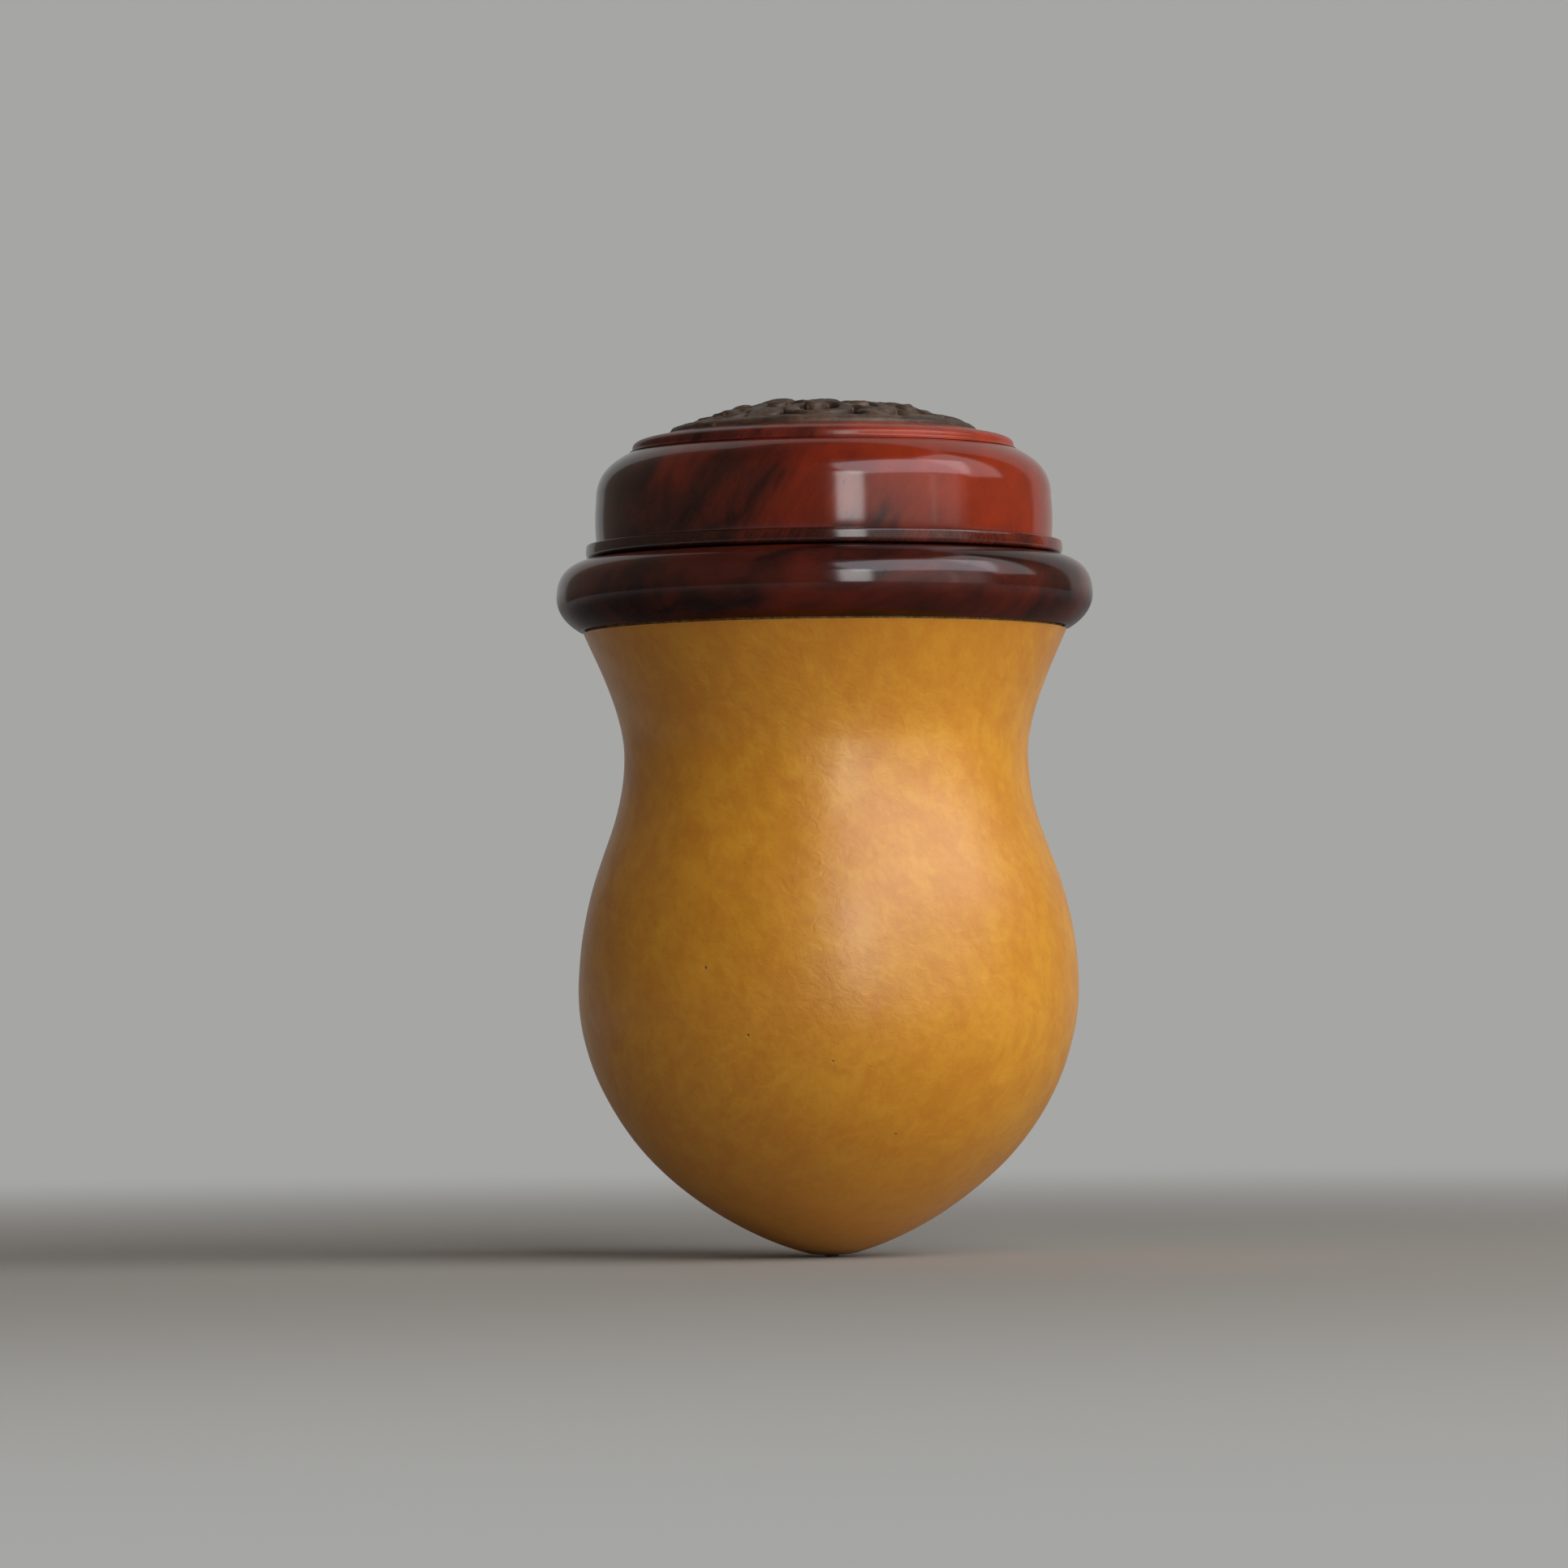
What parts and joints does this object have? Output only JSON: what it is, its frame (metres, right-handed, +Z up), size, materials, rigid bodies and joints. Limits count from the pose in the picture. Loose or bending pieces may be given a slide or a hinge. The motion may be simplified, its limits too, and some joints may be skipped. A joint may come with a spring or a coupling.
{
  "type": "cricket gourd",
  "caption": "Drawn-in dried gourd with a pointed base, a turned bullnose mouth ring, a lift-off domed wooden lid with a pierced carved cap, and a spiral wire coil in the neck.",
  "frame": {"origin": "the tip of the gourd's pointed base", "axes": "+Z up along the axis of the gourd and its turned pieces, towards the lid; X and Y are square to it"},
  "size_m": [0.0744, 0.0744, 0.1187],
  "materials": {
    "gourd_skin": "hand-polished dried gourd skin, honey ochre, faintly mottled",
    "ring_rosewood": "polished dark rosewood",
    "inner_rosewood": "plain turned rosewood",
    "lid_rosewood": "polished red rosewood with dark streaks",
    "carved_horn": "carved grey-brown horn, softly polished",
    "coil_brass": "drawn brass wire"
  },
  "bodies": {
    "gourd": {"gourd_shell": "gourd_skin", "mouth_ring": "ring_rosewood", "mouth_liner": "inner_rosewood", "brass_coil": "coil_brass"},
    "lid_sleeve": {"lid_tenon": "inner_rosewood"},
    "lid": {"lid_frame": "lid_rosewood", "lid_bezel": "lid_rosewood", "carved_grille": "carved_horn"}
  },
  "joints": [
    {"name": "lid_lift", "type": "slide", "parent": "gourd", "child": "lid_sleeve", "axis": [0, 0, 1], "range_m": [0, 0.06]},
    {"name": "lid_turn", "type": "hinge", "parent": "lid_sleeve", "child": "lid", "pos_m": [0, 0, 0.0969], "axis": [0, 0, 1], "continuous": true}
  ]
}
